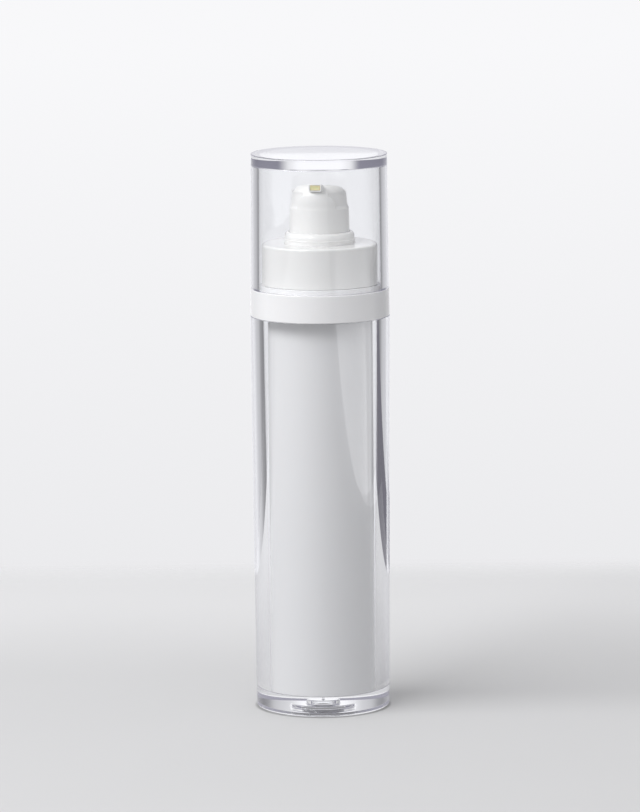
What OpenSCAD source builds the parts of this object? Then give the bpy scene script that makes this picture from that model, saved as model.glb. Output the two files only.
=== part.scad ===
// Airless pump bottle with a clear double wall, a pump snapped onto its neck and a clear overcap.
// The origin is the middle of the foot on the table, +Z is up and the nozzle points along -Y.
// The follower is at the bottom of its bore, so the bottle is shown full and the pump at rest.

/* [Clear bottle] */
// Outside diameter at the shoulder ring
bottle_d = 37; // [34:0.5:42]
// Height of the clear wall, from the table to the shoulder ring
bottle_h = 105.4; // [80:0.1:130]
// Radius lost from the shoulder ring down to the foot
bottle_draft = 0.7; // [0.2:0.1:1]
// Clear wall at the shoulder ring
wall_top = 3.35; // [2.9:0.05:3.6]
// Clear wall at the foot
wall_foot = 3.75; // [3.3:0.05:4.2]
// Clear floor under the inner bottle
floor_t = 5.8; // [4.5:0.1:7]
// Rounding of the foot's outer edge
foot_round = 2.2; // [1:0.1:3]
// Width of the flat ring that the bottle stands on
foot_ring_w = 3; // [2:0.1:5]
// Depth of the hollow inside that ring
foot_hollow = 0.4; // [0.2:0.1:0.6]
// Width of the sunk ring in the middle of the floor
recess_d = 11.7; // [9:0.1:14]
// Depth of the sunk ring below the hollow
recess_depth = 0.9; // [0.5:0.1:1.2]
// Width of the deeper well in its middle
well_d = 6; // [4:0.1:8]
// Depth of the deeper well below the sunk ring
well_depth = 1.2; // [0.5:0.1:1.6]
// Air hole through the floor
vent_d = 2; // [1:0.1:3]
// Thickness of the lip that stands up inside the shoulder ring
lip_t = 1.5; // [1:0.1:1.8]

/* [Inner bottle] */
// Wall of the inner bottle
inner_wall = 1; // [0.8:0.05:1.3]
// Gap between the inner bottle and the clear cavity at the foot
inner_gap = 0.15; // [0.1:0.05:0.4]
// Thickness of the flange that hangs on the clear lip
flange_t = 1.2; // [0.8:0.1:1.6]
// Thickness of the vented end plate
end_plate_t = 1.2; // [0.8:0.1:2]
// Air hole in the end plate
end_hole_d = 3; // [2:0.1:5]
// Height of the ribs that the follower rests on
end_rib_h = 0.8; // [0.4:0.1:1.5]
// Width of one rib
end_rib_w = 1; // [0.6:0.1:2]
// Number of ribs
end_ribs = 6; // [3:1:8]

/* [Shoulder ring] */
// Height of the white band between the clear bottle and the overcap
ring_h = 7.2; // [6:0.1:9]
// Radius lost over the height of the band
ring_draft = 0.14; // [0:0.02:0.3]
// Thickness of the shelf that holds the flange down
shelf_t = 2.2; // [1.6:0.1:3]
// Height of the spigot that stands up inside the overcap
spigot_h = 1.3; // [0.8:0.1:1.4]
// Gap round the spigot inside the overcap
spigot_gap = 0.15; // [0.05:0.05:0.3]

/* [Overcap] */
// Height of the overcap
cap_h = 35.75; // [34:0.05:45]
// Wall at the rim
cap_wall = 2.1; // [1.8:0.05:2.3]
// Thickness of the top plate
cap_top_t = 2.95; // [1.5:0.05:4]
// Step in from the shoulder ring to the overcap
cap_inset = 0.06; // [0:0.02:0.2]
// Radius that the outside loses from the rim to the top
cap_draft = 0.25; // [0:0.05:0.5]
// Radius that the bore loses from the rim to the ceiling
cap_bore_draft = 0.24; // [0:0.02:0.3]
// Rounding of the top edge
cap_round = 0.45; // [0.2:0.05:1]
// Gap under the rim
cap_seat_gap = 0.05; // [0.05:0.05:0.2]

/* [Closure] */
// Height of the wide white collar
closure_h = 10.6; // [9:0.1:14]
// Wall of its skirt
closure_wall = 1; // [0.8:0.05:1.2]
// Thickness of its top plate
closure_plate = 1.6; // [1.5:0.1:2.5]
// Gap between the shoulder ring and the skirt
closure_lift = 1.5; // [1.5:0.1:2.5]
// Rounding of its top edge
closure_round = 0.6; // [0.3:0.1:0.9]
// Gap between the neck and the skirt
neck_play = 0.4; // [0.35:0.05:0.6]
// How far the snap beads stand out
bead = 0.3; // [0.15:0.05:0.3]
// Height of a snap bead
bead_h = 1.1; // [0.8:0.1:1.5]
// Thickness of the neck gasket
gasket_t = 0.8; // [0.5:0.1:1.2]

/* [Guide collar] */
// Height above the closure
collar_h = 3.1; // [2.5:0.1:5]
// Wall of the guide collar
collar_wall = 1.05; // [0.9:0.05:1.4]
// Height of the rounded shoulder at its top
collar_round_h = 1.5; // [0.8:0.1:2]
// How far its hold-down flange stands out
collar_flange_w = 1.1; // [0.8:0.1:1.5]
// Thickness of the hold-down flange
collar_flange_t = 0.8; // [0.6:0.1:0.8]
// How far the thin bead round the collar stands out
collar_bead = 0.15; // [0.1:0.05:0.3]

/* [Actuator] */
// Diameter of the skirt that slides in the guide collar
actuator_d = 15.9; // [14.5:0.1:17]
// Gap between the skirt and the guide collar
actuator_play = 0.3; // [0.2:0.05:0.4]
// Radius that the skirt loses up to its ledge
skirt_draft = 0.13; // [0:0.01:0.3]
// Wall of the skirt
skirt_wall = 0.9; // [0.7:0.05:1]
// Length of skirt inside the guide collar at rest
skirt_depth = 1.8; // [1.2:0.1:2.5]
// Height from the guide collar to the ledge round the head
ledge_h = 6.1; // [5.5:0.1:8]
// Width of the sloping ledge
ledge_w = 0.4; // [0.2:0.05:0.6]
// Height from the ledge to the highest edge, over the nozzle
head_h = 6.75; // [6.5:0.05:8]
// Radius that the head loses up to its top
head_draft = 0.35; // [0:0.05:0.5]
// Rounding of the head's top edge
head_round = 1.8; // [1:0.1:2.2]
// Slope of the finger pad, down from the nozzle to the back
head_slope = 10.5; // [6:0.5:12]
// Thickness of the finger pad
pad_t = 1.3; // [1:0.1:1.6]
// Width of the arched spout at the ledge
spout_w = 10; // [8:0.1:11]
// Height of the arched spout above the ledge
spout_rise = 4.8; // [4:0.1:5]
// Width of the nozzle's rim
nozzle_w = 3.4; // [3.3:0.1:4]
// Height of the nozzle's rim
nozzle_h = 2.1; // [1.9:0.1:2.4]
// How far the rim stands out from the skirt's radius
nozzle_out = 0.3; // [0.1:0.1:1]
// Gap from the highest edge of the head down to the rim's top
nozzle_drop = 0.05; // [0.05:0.05:0.2]
// Width of the soft insert in the nozzle
insert_w = 2.7; // [2:0.1:2.8]
// Height of the insert
insert_h = 1.35; // [1:0.05:1.4]
// Depth of the insert
insert_l = 2.2; // [1.5:0.1:2.8]
// Width of the slit in the insert
slit_w = 1.7; // [1:0.1:1.8]
// Height of the slit
slit_h = 0.25; // [0.2:0.05:0.4]

/* [Pump] */
// Travel of the actuator
stroke = 5; // [4:0.1:5.5]
// Bore of the dosing chamber
chamber_d = 9; // [8.5:0.1:9.6]
// Wall of the dosing chamber
chamber_wall = 1; // [0.8:0.05:1.1]
// Wall of the sunk cup round the dosing chamber
cup_wall = 1; // [0.8:0.05:1.2]
// Thickness of the housing's flange on the gasket
housing_flange_t = 1; // [0.8:0.1:1.4]
// Depth of the plug skirt inside the neck
plug_h = 3.6; // [2.5:0.1:5]
// Wall of the plug skirt
plug_wall = 1; // [0.8:0.1:1.2]
// Outside diameter of the stem
stem_d = 5; // [4.6:0.1:5.2]
// Flow bore of the stem
stem_bore_d = 3; // [2.6:0.1:3.2]
// Thickness of the stem's stop shoulder
stop_t = 0.8; // [0.6:0.1:1.2]
// Width of the stop shoulder beyond the stem
stop_w = 0.8; // [0.6:0.1:1]
// Drop from the head's highest edge to the socket's lower end
socket_drop = 9.15; // [8.5:0.05:10]
// Length of stem inside the actuator's socket
socket_l = 5.1; // [4:0.1:5.5]
// Wall of the socket
socket_wall = 1.2; // [1:0.1:1.4]
// Height of the piston seal
seal_h = 3.4; // [3:0.1:4]
// Slip of the piston seal on the stem
slip = 0.8; // [0.4:0.1:1]
// Thickness of the valve rod's head
rod_head_t = 1; // [0.8:0.1:1.5]
// Length of rod held in the stem
rod_grip = 6; // [4:0.1:8]
// Width of the flow flutes in the rod
flute_d = 0.9; // [0.6:0.1:1]
// Depth of the stem guide's plug in the chamber
guide_plug_h = 1.5; // [1.2:0.1:2.5]
// Thickness of the stem guide's flange
guide_flange_t = 1; // [0.8:0.1:1.5]
// Height of the boss that centres the spring
guide_boss_h = 1.2; // [0.8:0.1:2]
// Diameter of the inlet ball
ball_d = 3; // [2.6:0.1:3.2]
// Lift of the inlet ball
ball_lift = 1; // [0.6:0.1:1.2]
// Thickness of the ball cage
cage_t = 0.8; // [0.6:0.1:1.2]
// Bore of the inlet below the ball
inlet_d = 1.6; // [1.2:0.1:1.8]
// Length of that bore
inlet_l = 1.2; // [0.8:0.1:2]

/* [Spring] */
// Thickness of the spring wire
wire_d = 0.8; // [0.6:0.05:0.9]
// Turns of the spring
turns = 5.5; // [4.5:0.5:6]

/* [Follower] */
// Height of the follower piston
follower_h = 10; // [8:0.1:14]
// Wall behind the wiping lips
follower_wall = 1.2; // [1:0.1:1.6]
// Height of one wiping lip
lip_h = 1.2; // [0.8:0.1:2]
// Thickness of the web across the piston
web_t = 1.2; // [1:0.1:1.8]

/* [Fits] */
// Gap between pieces that are pressed or snapped together
snug = 0.05; // [0.02:0.01:0.08]
// Running gap of the seal, stem and follower in their bores
running = 0.03; // [0.02:0.01:0.05]
// Least gap between pieces that pass each other
pass_gap = 0.3; // [0.3:0.05:0.4]

/* [Hidden] */
$fn = 96;
eps = 0.01;

// Radii of the clear bottle and of what stands in it
bottle_r = bottle_d / 2;
foot_r = bottle_r - bottle_draft;
cavity_top_r = bottle_r - wall_top;
cavity_foot_r = foot_r - wall_foot;
inner_r = cavity_foot_r - inner_gap;
bore_r = inner_r - inner_wall;
lip_r = cavity_top_r + lip_t;

// Heights of the shoulder
ring_top = bottle_h + ring_h;
flange_top = ring_top - shelf_t;
lip_top = flange_top - flange_t;
spigot_top = ring_top + spigot_h;

// Overcap
cap_z = ring_top + cap_seat_gap;
cap_r = bottle_r - ring_draft - cap_inset;
cap_bore_r = cap_r - cap_wall;
cap_top = cap_z + cap_h;
ceiling = cap_top - cap_top_t;
spigot_r = cap_bore_r - spigot_gap;

// Closure and neck
closure_z = ring_top + closure_lift;
closure_top = closure_z + closure_h;
closure_under = closure_top - closure_plate;
closure_bore_r = inner_r + neck_play;
closure_r = closure_bore_r + closure_wall;
housing_flange_z = closure_under - housing_flange_t;
neck_top = housing_flange_z - gasket_t;
closure_bead_z = closure_z + 3;
neck_bead_z = closure_bead_z + bead_h + 0.3;

// Guide collar and actuator skirt
actuator_r = actuator_d / 2;
guide_r = actuator_r + actuator_play;
collar_r = guide_r + collar_wall;
collar_top = closure_top + collar_h;
skirt_z = collar_top - skirt_depth;
ledge_z = collar_top + ledge_h;
ledge_r = actuator_r - skirt_draft;
head_r = ledge_r - ledge_w;
head_top = ledge_z + head_h;

// Nozzle
nozzle_y = -actuator_r - nozzle_out;
nozzle_z = head_top - nozzle_drop - nozzle_h / 2;

// Pump, from the sunk cup down to the inlet
cup_floor = skirt_z - stroke - 2 * pass_gap;
cup_r = guide_r + cup_wall;
chamber_r = chamber_d / 2;
chamber_out_r = chamber_r + chamber_wall;
guide_top = cup_floor + guide_flange_t;
guide_plug_z = cup_floor - guide_plug_h;
stem_r = stem_d / 2;
stem_bore_r = stem_bore_d / 2;
stop_top = guide_plug_z - snug;
stop_z = stop_top - stop_t;
seal_top = stop_z - slip - running;
seal_z = seal_top - seal_h;
seal_hub_r = stem_r + running + 0.8;
rod_head_top = seal_z - running;
rod_head_z = rod_head_top - rod_head_t;
chamber_floor = rod_head_z - stroke - pass_gap;
cage_z = chamber_floor - cage_t;
cage_r = chamber_r - 1.3;
cage_hole_r = 0.45;
ball_r = ball_d / 2;
ball_z = cage_z - ball_lift - ball_r - running;
ball_well_r = ball_r + 0.5;
inlet_r = inlet_d / 2;
seat_z = ball_z + inlet_r - (ball_r + running) * sqrt(2);
tip_z = seat_z - inlet_l;
tip_r = ball_well_r + chamber_wall;

// Stem top, socket and spring
socket_z = head_top - socket_drop;
stem_top = socket_z + socket_l;
stem_z = seal_z + slip + 0.15;
stop_r = stem_r + stop_w;
socket_r = stem_r + running + socket_wall;
spring_out_r = chamber_out_r - 0.4;
spring_r = spring_out_r - wire_d / 2;
boss_r = spring_r - wire_d / 2 - 0.25;
spring_seat_r = spring_out_r + 0.3;
spring_seat_t = 0.9;
pitch = (socket_z - guide_top - wire_d - 2 * snug) / turns;

// Follower
end_plate_z = floor_t;
follower_z = end_plate_z + end_plate_t + end_rib_h + snug;
follower_top = follower_z + follower_h;
lip_out_r = bore_r - running;
follower_in_r = lip_out_r - follower_wall;
dimple_r = tip_r + 0.8;

// Points along an arc round c, with one radius across and one up
function bend(c, rx, rz, from, to, steps = 8) =
    [for (i = [0:steps]) let (a = from + (to - from) * i / steps) c + [rx * cos(a), rz * sin(a)]];

// A solid of revolution from its outline of radius and height
module turned(outline) {
    rotate_extrude() polygon(outline);
}

// Everything below the slanted finger pad, or below a surface some depth under it
module below_pad(depth) {
    span = 4 * actuator_d;
    translate([0, -head_r, head_top - depth])
        rotate([-head_slope, 0, 0])
            translate([-span / 2, -span / 2, -span])
                cube([span, span, span]);
}

module outer_bottle() {
    ring_in_r = foot_r - foot_round - foot_ring_w;
    recess_z = foot_hollow + recess_depth;
    color([0.86, 0.9, 0.95, 0.35])
        difference() {
            turned(concat(
                [[0, foot_hollow], [ring_in_r, foot_hollow], [ring_in_r, 0]],
                bend([foot_r - foot_round, foot_round], foot_round, foot_round, -90, 0),
                [[bottle_r, bottle_h], [lip_r, bottle_h], [lip_r, lip_top],
                 [cavity_top_r, lip_top], [cavity_top_r, bottle_h],
                 [cavity_foot_r, floor_t], [0, floor_t]]
            ));
            translate([0, 0, -1]) cylinder(r = recess_d / 2, h = 1 + recess_z);
            translate([0, 0, -1]) cylinder(r = well_d / 2, h = 1 + recess_z + well_depth);
            translate([0, 0, -1]) cylinder(r = vent_d / 2, h = 2 + floor_t);
        }
}

module inner_bottle() {
    flange_r = lip_r - snug;
    color([0.95, 0.96, 0.97])
        turned([
            [bore_r, floor_t], [inner_r, floor_t], [inner_r, lip_top], [flange_r, lip_top],
            [flange_r, flange_top], [inner_r, flange_top], [inner_r, neck_bead_z],
            [inner_r + bead, neck_bead_z + bead], [inner_r + bead, neck_bead_z + bead_h - bead],
            [inner_r, neck_bead_z + bead_h], [inner_r, neck_top], [bore_r, neck_top]
        ]);
}

module inner_end_plate() {
    rib_from = end_hole_d / 2 + 1;
    rib_to = bore_r - 0.5;
    color([0.93, 0.94, 0.95])
        difference() {
            translate([0, 0, end_plate_z]) {
                cylinder(r = bore_r - snug, h = end_plate_t);
                for (i = [0:end_ribs - 1])
                    rotate([0, 0, 360 * i / end_ribs])
                        translate([rib_from, -end_rib_w / 2, 0])
                            cube([rib_to - rib_from, end_rib_w, end_plate_t + end_rib_h]);
            }
            translate([0, 0, end_plate_z - 1]) cylinder(d = end_hole_d, h = end_plate_t + 2);
        }
}

module follower_piston() {
    waist_r = lip_out_r - 0.4;
    web_z = follower_z + 2;
    dimple_z = web_z - web_t;
    color([0.97, 0.97, 0.95])
        turned([
            [0, dimple_z], [dimple_r + web_t, dimple_z], [dimple_r + web_t, web_z],
            [follower_in_r, web_z], [follower_in_r, follower_z], [lip_out_r, follower_z],
            [lip_out_r, follower_z + lip_h], [waist_r, follower_z + lip_h + 0.5],
            [waist_r, follower_top - lip_h - 0.5], [lip_out_r, follower_top - lip_h],
            [lip_out_r, follower_top], [follower_in_r, follower_top],
            [follower_in_r, web_z + web_t], [dimple_r, web_z + web_t],
            [dimple_r, web_z], [0, web_z]
        ]);
}

module shoulder_ring() {
    groove_r = lip_r + snug;
    shelf_r = inner_r + neck_play;
    color([0.96, 0.97, 0.98])
        turned([
            [groove_r, bottle_h], [bottle_r, bottle_h], [bottle_r - ring_draft, ring_top],
            [spigot_r, ring_top], [spigot_r, spigot_top], [shelf_r, spigot_top],
            [shelf_r, flange_top], [groove_r, flange_top]
        ]);
}

module neck_gasket() {
    color([0.82, 0.84, 0.86])
        turned([
            [bore_r, neck_top], [inner_r, neck_top],
            [inner_r, housing_flange_z], [bore_r, housing_flange_z]
        ]);
}

module closure() {
    hole_r = collar_r + snug;
    hold_r = collar_r + collar_flange_w + snug;
    hold_z = closure_under + collar_flange_t + snug;
    foot_bevel = 0.35;
    color([0.96, 0.96, 0.95])
        turned(concat(
            [[closure_bore_r, closure_z], [closure_r - foot_bevel, closure_z],
             [closure_r, closure_z + foot_bevel]],
            bend([closure_r - closure_round, closure_top - closure_round],
                 closure_round, closure_round, 0, 90),
            [[hole_r, closure_top], [hole_r, hold_z], [hold_r, hold_z],
             [hold_r, closure_under], [closure_bore_r, closure_under],
             [closure_bore_r, closure_bead_z + bead_h],
             [closure_bore_r - bead, closure_bead_z + bead_h - bead],
             [closure_bore_r - bead, closure_bead_z + bead],
             [closure_bore_r, closure_bead_z]]
        ));
}

module guide_collar() {
    flange_r = collar_r + collar_flange_w;
    round_w = collar_wall - 0.15;
    bead_z = closure_top + 1.1;
    color([0.96, 0.96, 0.95])
        turned(concat(
            [[guide_r, closure_under], [flange_r, closure_under],
             [flange_r, closure_under + collar_flange_t],
             [collar_r, closure_under + collar_flange_t],
             [collar_r, bead_z - collar_bead], [collar_r + collar_bead, bead_z],
             [collar_r, bead_z + collar_bead]],
            bend([collar_r - round_w, collar_top - collar_round_h], round_w, collar_round_h, 0, 90),
            [[guide_r, collar_top]]
        ));
}

module pump_housing() {
    plug_r = bore_r - 2 * snug;
    plug_z = housing_flange_z - plug_h;
    color([0.9, 0.92, 0.93])
        turned([
            [guide_r, closure_under], [inner_r, closure_under], [inner_r, housing_flange_z],
            [plug_r, housing_flange_z], [plug_r, plug_z], [plug_r - plug_wall, plug_z],
            [plug_r - plug_wall, housing_flange_z], [cup_r, housing_flange_z],
            [cup_r, cup_floor - cup_wall], [chamber_out_r, cup_floor - cup_wall],
            [chamber_out_r, cage_z], [tip_r, cage_z - 1.7], [tip_r, tip_z],
            [inlet_r, tip_z], [inlet_r, seat_z], [ball_well_r, seat_z + ball_well_r - inlet_r],
            [ball_well_r, cage_z], [cage_r + snug, cage_z], [cage_r + snug, chamber_floor],
            [chamber_r, chamber_floor], [chamber_r, cup_floor], [guide_r, cup_floor]
        ]);
}

module stem_guide() {
    hole_r = stem_r + running;
    color([0.9, 0.92, 0.93])
        turned([
            [hole_r, guide_plug_z], [chamber_r - snug, guide_plug_z],
            [chamber_r - snug, cup_floor], [chamber_out_r, cup_floor],
            [chamber_out_r, guide_top], [boss_r, guide_top],
            [boss_r, guide_top + guide_boss_h], [hole_r, guide_top + guide_boss_h]
        ]);
}

module ball_cage() {
    holes = 4;
    color([0.88, 0.9, 0.92])
        translate([0, 0, cage_z])
            difference() {
                cylinder(r = cage_r, h = cage_t);
                translate([0, 0, -1]) cylinder(r = cage_hole_r, h = cage_t + 2);
                for (i = [0:holes - 1])
                    rotate([0, 0, 360 * i / holes])
                        translate([ball_well_r - cage_hole_r, 0, -1])
                            cylinder(r = cage_hole_r, h = cage_t + 2);
            }
}

module inlet_ball() {
    color([0.75, 0.76, 0.78])
        translate([0, 0, ball_z]) sphere(r = ball_r);
}

module piston_seal() {
    hole_r = stem_r + running;
    wipe_r = chamber_r - running;
    wall_r = wipe_r - 0.7;
    waist_r = wipe_r - 0.22;
    web_low = seal_z + 1.2;
    web_high = seal_top - 1;
    color([0.93, 0.95, 0.96])
        turned([
            [hole_r, seal_z], [seal_hub_r, seal_z], [seal_hub_r, web_low],
            [wall_r, web_low], [wall_r, seal_z], [wipe_r, seal_z], [wipe_r, seal_z + 0.6],
            [waist_r, seal_z + 0.9], [waist_r, seal_top - 0.9], [wipe_r, seal_top - 0.6],
            [wipe_r, seal_top], [wall_r, seal_top], [wall_r, web_high],
            [seal_hub_r, web_high], [seal_hub_r, seal_top], [hole_r, seal_top]
        ]);
}

module valve_rod() {
    flutes = 4;
    rod_top = stem_z + rod_grip;
    color([0.94, 0.94, 0.93])
        difference() {
            union() {
                translate([0, 0, rod_head_z]) cylinder(r = seal_hub_r, h = rod_head_t);
                translate([0, 0, rod_head_z])
                    cylinder(r = stem_bore_r - running, h = rod_top - rod_head_z);
            }
            for (i = [0:flutes - 1])
                rotate([0, 0, 360 * i / flutes])
                    translate([stem_bore_r, 0, rod_head_top])
                        cylinder(d = flute_d, h = rod_top - rod_head_top + 1);
        }
}

module stem() {
    color([0.95, 0.95, 0.94])
        turned([
            [stem_bore_r, stem_z], [stem_r, stem_z], [stem_r, stop_z], [stop_r, stop_z],
            [stop_r, stop_top], [stem_r, stop_top], [stem_r, stem_top], [stem_bore_r, stem_top]
        ]);
}

// One unbroken wire, wound as a helix that stands on the stem guide
module pump_spring() {
    sides = 8;
    steps = 24 * turns;
    wire_r = wire_d / 2;
    foot_z = guide_top + snug + wire_r;
    lean = atan2(pitch, 360 * PI / 180 * spring_r);
    rings = [
        for (i = [0:steps], k = [0:sides - 1])
            let (
                turn = 360 * turns * i / steps,
                side = 360 * k / sides,
                out = spring_r + wire_r * cos(side),
                rise = wire_r * sin(side)
            )
            [out * cos(turn) + rise * sin(lean) * sin(turn),
             out * sin(turn) - rise * sin(lean) * cos(turn),
             foot_z + pitch * turns * i / steps + rise * cos(lean)]
    ];
    walls = [
        for (i = [0:steps - 1], k = [0:sides - 1])
            let (a = i * sides + k, b = i * sides + (k + 1) % sides)
            each [[a, a + sides, b + sides], [a, b + sides, b]]
    ];
    ends = [
        for (k = [1:sides - 2])
            each [[0, k, k + 1], [steps * sides, steps * sides + k + 1, steps * sides + k]]
    ];
    echo(str("least gap between turns ", pitch * cos(lean) - wire_d, " mm"));
    color([0.7, 0.71, 0.73]) polyhedron(points = rings, faces = concat(walls, ends));
}

// The rounded head above the ledge, with its finger pad slanted down to the back
module head() {
    top_r = head_r - head_draft - head_round;
    hull() {
        translate([0, 0, ledge_z + ledge_w * 0.5]) cylinder(r = head_r, h = eps);
        translate([0, -head_r, head_top - head_round])
            rotate([-head_slope, 0, 0])
                translate([0, head_r, 0])
                    rotate_extrude($fn = 48) translate([top_r, 0]) circle(r = head_round, $fn = 32);
    }
}

// The arched front that carries the nozzle
module spout() {
    arch = concat(
        bend([0, 0], spout_w / 2, spout_rise, 0, 180, 24),
        [[-spout_w / 2, -ledge_w], [spout_w / 2, -ledge_w]]
    );
    intersection() {
        translate([0, 0, ledge_z])
            rotate([90, 0, 0])
                linear_extrude(height = actuator_d) polygon(arch);
        cylinder(r = ledge_r, h = head_top);
        below_pad(head_round / 2);
    }
}

// The block that holds the nozzle insert, flush with the finger pad
module nozzle_block() {
    intersection() {
        translate([-nozzle_w / 2, nozzle_y, nozzle_z - nozzle_h / 2])
            cube([nozzle_w, insert_l + 1, nozzle_h + 1]);
        below_pad(nozzle_drop);
    }
}

// A round bar along the slanted flow way from the socket to the nozzle
module flow_way(r) {
    from_z = stem_top + 0.5;
    to_y = nozzle_y + insert_l;
    rise = nozzle_z - insert_h / 4 - from_z;
    translate([0, 0, from_z])
        rotate([90 - atan2(rise, -to_y), 0, 0])
            cylinder(r = r, h = norm([to_y, rise]));
}

module actuator() {
    hollow_r = head_r - head_draft - skirt_wall;
    skirt_in_r = actuator_r - skirt_wall;
    flow_r = 0.5;
    color([0.95, 0.96, 0.95])
        difference() {
            union() {
                difference() {
                    union() {
                        turned([
                            [0, skirt_z], [actuator_r, skirt_z], [actuator_r, collar_top],
                            [ledge_r, ledge_z - ledge_w], [head_r, ledge_z + ledge_w],
                            [0, ledge_z + ledge_w]
                        ]);
                        head();
                        spout();
                    }
                    translate([0, 0, skirt_z - 1])
                        cylinder(r = skirt_in_r, h = ledge_z - skirt_z);
                    intersection() {
                        translate([0, 0, skirt_z]) cylinder(r = hollow_r, h = head_top - skirt_z);
                        below_pad(pad_t);
                    }
                }
                intersection() {
                    turned([
                        [0, socket_z], [spring_seat_r, socket_z],
                        [spring_seat_r, socket_z + spring_seat_t],
                        [socket_r, socket_z + spring_seat_t + spring_seat_r - socket_r],
                        [socket_r, head_top], [0, head_top]
                    ]);
                    below_pad(pad_t / 2);
                }
                intersection() {
                    flow_way(flow_r + 0.8);
                    below_pad(pad_t / 2);
                }
                nozzle_block();
            }
            translate([0, 0, socket_z - 1]) cylinder(r = stem_r + running, h = 1 + socket_l + running);
            translate([0, 0, stem_top]) cylinder(r = stem_bore_r, h = 0.9);
            flow_way(flow_r);
            translate([-insert_w / 2 - snug, nozzle_y - 1, nozzle_z - insert_h / 2 - snug])
                cube([insert_w + 2 * snug, insert_l + 1, insert_h + 2 * snug]);
        }
}

module nozzle_insert() {
    set_back = 0.15;
    color([0.9, 0.86, 0.6])
        difference() {
            translate([-insert_w / 2, nozzle_y + set_back, nozzle_z - insert_h / 2])
                cube([insert_w, insert_l - set_back, insert_h]);
            translate([-slit_w / 2, nozzle_y - 1, nozzle_z - slit_h / 2])
                cube([slit_w, insert_l + 2, slit_h]);
        }
}

module overcap() {
    top_r = cap_r - cap_draft;
    bore_top_r = cap_bore_r - cap_bore_draft;
    corner = 0.3;
    color([0.88, 0.91, 0.96, 0.3])
        turned(concat(
            [[cap_bore_r, cap_z], [cap_r, cap_z]],
            bend([top_r - cap_round, cap_top - cap_round], cap_round, cap_round, 0, 90),
            [[0, cap_top], [0, ceiling]],
            bend([bore_top_r - corner, ceiling - corner], corner, corner, 90, 0, 4)
        ));
}

outer_bottle();
inner_bottle();
inner_end_plate();
follower_piston();
shoulder_ring();
neck_gasket();
closure();
guide_collar();
pump_housing();
stem_guide();
ball_cage();
inlet_ball();
piston_seal();
valve_rod();
stem();
pump_spring();
actuator();
nozzle_insert();
overcap();
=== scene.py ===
from math import cos, pi, radians, sin, tan

import bmesh
import bpy
from mathutils import Matrix, Vector


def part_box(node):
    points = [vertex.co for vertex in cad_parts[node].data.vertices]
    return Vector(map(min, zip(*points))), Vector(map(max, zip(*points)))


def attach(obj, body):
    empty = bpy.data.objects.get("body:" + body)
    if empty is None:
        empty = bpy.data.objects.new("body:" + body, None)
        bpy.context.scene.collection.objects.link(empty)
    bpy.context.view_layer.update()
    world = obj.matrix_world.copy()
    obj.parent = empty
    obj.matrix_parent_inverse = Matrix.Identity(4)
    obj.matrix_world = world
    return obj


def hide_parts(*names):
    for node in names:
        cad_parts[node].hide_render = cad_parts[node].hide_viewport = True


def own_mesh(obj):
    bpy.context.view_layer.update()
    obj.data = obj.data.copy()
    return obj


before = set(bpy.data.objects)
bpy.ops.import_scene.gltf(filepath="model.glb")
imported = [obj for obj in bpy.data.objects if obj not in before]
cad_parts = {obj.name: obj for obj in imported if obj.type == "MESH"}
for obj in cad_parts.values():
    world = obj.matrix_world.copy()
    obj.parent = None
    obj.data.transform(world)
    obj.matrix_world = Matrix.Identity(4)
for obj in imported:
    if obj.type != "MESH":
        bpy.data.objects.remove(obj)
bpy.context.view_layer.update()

bl_info = {
    "name": "Airless Pump Bottle",
    "version": (1, 0, 0),
    "blender": (4, 5, 0),
    "location": "View3D > Sidebar > Bottle",
    "description": "Dresses a clear double-wall airless pump bottle and its small studio",
    "category": "Add Mesh",
}

MM = 0.001


def corner(node):
    """Radius across X, lowest and highest height of a CAD node."""
    low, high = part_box(node)
    return high[0], low[2], high[2]


BOTTLE_R, _, LIP_TOP = corner("outer_bottle")
INNER_FLANGE_R, INNER_Z, NECK_TOP = corner("inner_bottle")
RING_R, RING_Z, SPIGOT_TOP = corner("shoulder_ring")
CLOSURE_R, CLOSURE_Z, CLOSURE_TOP = corner("closure")
COLLAR_FLANGE_R, COLLAR_Z, COLLAR_TOP = corner("guide_collar")
HEAD_R, SKIRT_Z, HEAD_TOP = corner("actuator")
CAP_R, CAP_Z, CAP_TOP = corner("overcap")
INSERT_HALF_W = corner("nozzle_insert")[0]
STEM_TOP = corner("stem")[2]
SPRING_R, SPRING_Z, SPRING_TOP = corner("pump_spring")
STEM_TOP_R = 2.5 * MM

# Gaps between faces that would otherwise lie in one plane
HAIR = 0.03 * MM
FIT = 0.05 * MM

# How far a snap bead stands out, and the thickness of the guide collar's flange
BEAD_OUT = 0.3 * MM
COLLAR_FLANGE = 0.8 * MM

# Size of the clouds in a moulding's tone, and how far its roughness swings
CLOUDS = 55.0
GLOSS_SWING = 0.04

# Tones of the studio, as red, green, blue and alpha
# Painted shade: the dark floor that reflections find in the shaded gap behind the table.
PAINTED_GAP_SHADE = (0.16, 0.155, 0.18, 1.0)
HORIZON = (0.24, 0.235, 0.29, 1.0)
LOW_CARD = (1.8, 1.8, 1.83, 1.0)
CEILING_RIGHT = (0.7, 0.7, 0.71, 1.0)
CEILING_LEFT = (1.0, 1.0, 1.01, 1.0)
# Painted glow: the emission on the table under the clear foot, standing in for light that the foot drops.
FOOT_GLOW = (0.95, 0.94, 1.0, 1.0)

# Distances on the table over which its tone changes, from and to: painted shade by the bottle, a painted
# glow under the clear foot, a painted contact shadow under it, and the fade of its back edge
SHADED = (150 * MM, 30 * MM)
UNDER_FOOT = (27 * MM, 18 * MM)
CONTACT = (18.6 * MM, 17.4 * MM)
EDGE_FADE = (-32 * MM, 8 * MM)
MIRRORED_EDGE = 4 * MM

# Heights in the sky in degrees, from and to
BACKDROP_RISE = (-11, -5)
LOW_CARD_TOP = (-5.5, -8.5)
CEILING_RISE = (9, 30)
HORIZON_FOOT = (-4, -2)
HORIZON_TOP = (5.7, 4.2)
HORIZON_SIDE_TOP = (13, 9)

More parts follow.
